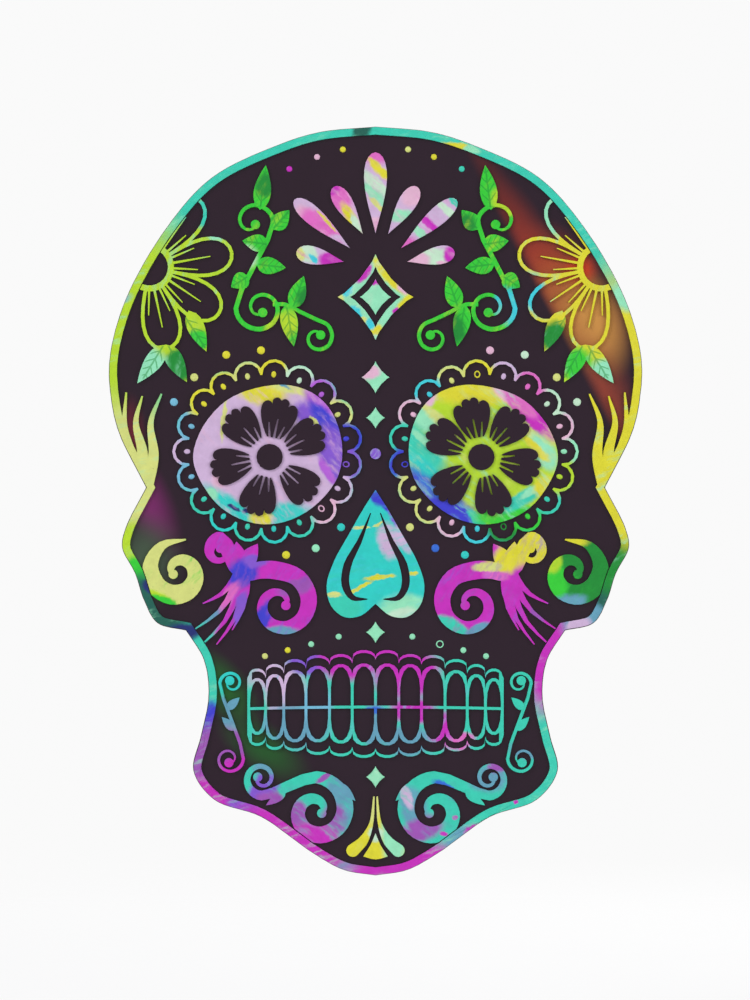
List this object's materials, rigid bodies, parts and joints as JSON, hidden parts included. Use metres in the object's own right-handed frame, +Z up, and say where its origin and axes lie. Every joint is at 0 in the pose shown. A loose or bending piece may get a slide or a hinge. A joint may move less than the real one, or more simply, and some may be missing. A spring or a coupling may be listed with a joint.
{
  "type": "sugar skull wall plaque",
  "caption": "Flat skull-shaped wall plaque: a board with a dark gloss face, raised coloured ornament, a hanging ring at the back and pads against the wall.",
  "frame": {"origin": "the nail: the point of the wall that the turned-up hanging ring hangs from, on the wall plane", "axes": "+Z up, +X to the viewer's right, the face looks along -Y, and the wall is the plane y = 0"},
  "size_m": [0.2137, 0.0122, 0.3],
  "materials": {
    "board": "fibreboard, stained black",
    "face": "gloss aubergine black",
    "rim_ink": "marbled ink under a satin coat, teal to yellow to magenta",
    "vine_ink": "marbled ink under a satin coat, green",
    "flower_ink": "marbled ink under a satin coat, yellow green",
    "drop_ink": "marbled ink under a satin coat, pink to mint",
    "diamond_ink": "marbled ink under a satin coat, mint and pale pink",
    "eye_ring_ink": "marbled ink under a satin coat, lilac to teal",
    "left_eye_ink": "marbled ink under a satin coat, pale lilac",
    "right_eye_ink": "marbled ink under a satin coat, lime yellow",
    "nose_ink": "marbled ink under a satin coat, teal",
    "moon_ink": "marbled ink under a satin coat, green",
    "cheek_ink": "marbled ink under a satin coat, magenta",
    "teeth_ink": "marbled ink under a satin coat, teal to magenta",
    "jaw_ink": "marbled ink under a satin coat, teal to violet",
    "chin_ink": "marbled ink under a satin coat, teal and magenta",
    "hanger_metal": "nickel plated, lightly brushed",
    "pad_rubber": "matte"
  },
  "bodies": {
    "plaque": {"back_board": "board", "face_panel": "face", "wall_pad_upper_left": "pad_rubber", "wall_pad_upper_right": "pad_rubber", "wall_pad_lower_left": "pad_rubber", "wall_pad_lower_right": "pad_rubber", "hanger_strap": "hanger_metal", "hanger_screw": "hanger_metal", "rim_band": "rim_ink", "eye_ring_left": "eye_ring_ink", "eye_ring_right": "eye_ring_ink", "eye_disc_left": "left_eye_ink", "eye_disc_right": "right_eye_ink", "eye_centre_left": "face", "eye_centre_right": "face", "eye_petal_left_1": "face", "eye_petal_left_2": "face", "eye_petal_left_3": "face", "eye_petal_left_4": "face", "eye_petal_left_5": "face", "eye_petal_left_6": "face", "eye_petal_right_1": "face", "eye_petal_right_2": "face", "eye_petal_right_3": "face", "eye_petal_right_4": "face", "eye_petal_right_5": "face", "eye_petal_right_6": "face", "brow_drop_middle": "drop_ink", "brow_drop_inner_left": "drop_ink", "brow_drop_inner_right": "drop_ink", "brow_drop_outer_left": "drop_ink", "brow_drop_outer_right": "drop_ink", "brow_drop_lower_left": "drop_ink", "brow_drop_lower_right": "drop_ink", "brow_lozenge_frame": "drop_ink", "brow_lozenge_core": "diamond_ink", "bridge_diamond_upper": "diamond_ink", "bridge_diamond_lower": "diamond_ink", "bridge_bead": "diamond_ink", "philtrum_diamond": "diamond_ink", "chin_diamond": "diamond_ink", "vine_left": "vine_ink", "vine_right": "vine_ink", "temple_flower_left": "flower_ink", "temple_flower_right": "flower_ink", "nose_heart": "nose_ink", "cheek_moon_left": "moon_ink", "cheek_moon_right": "moon_ink", "cheek_scroll_left": "cheek_ink", "cheek_scroll_right": "cheek_ink", "teeth_frame": "teeth_ink", "jaw_vine_left": "jaw_ink", "jaw_vine_right": "jaw_ink", "chin_scroll_left": "chin_ink", "chin_scroll_right": "chin_ink", "chin_drop_left": "flower_ink", "chin_drop_middle": "flower_ink", "chin_drop_right": "flower_ink"},
    "ring": {"hanger_ring": "hanger_metal"}
  },
  "joints": [
    {"name": "ring_swing", "type": "hinge", "parent": "plaque", "child": "ring", "pos_m": [0, -0.0023, -0.0231], "axis": [1, 0, 0], "range_deg": [0, 180]}
  ]
}
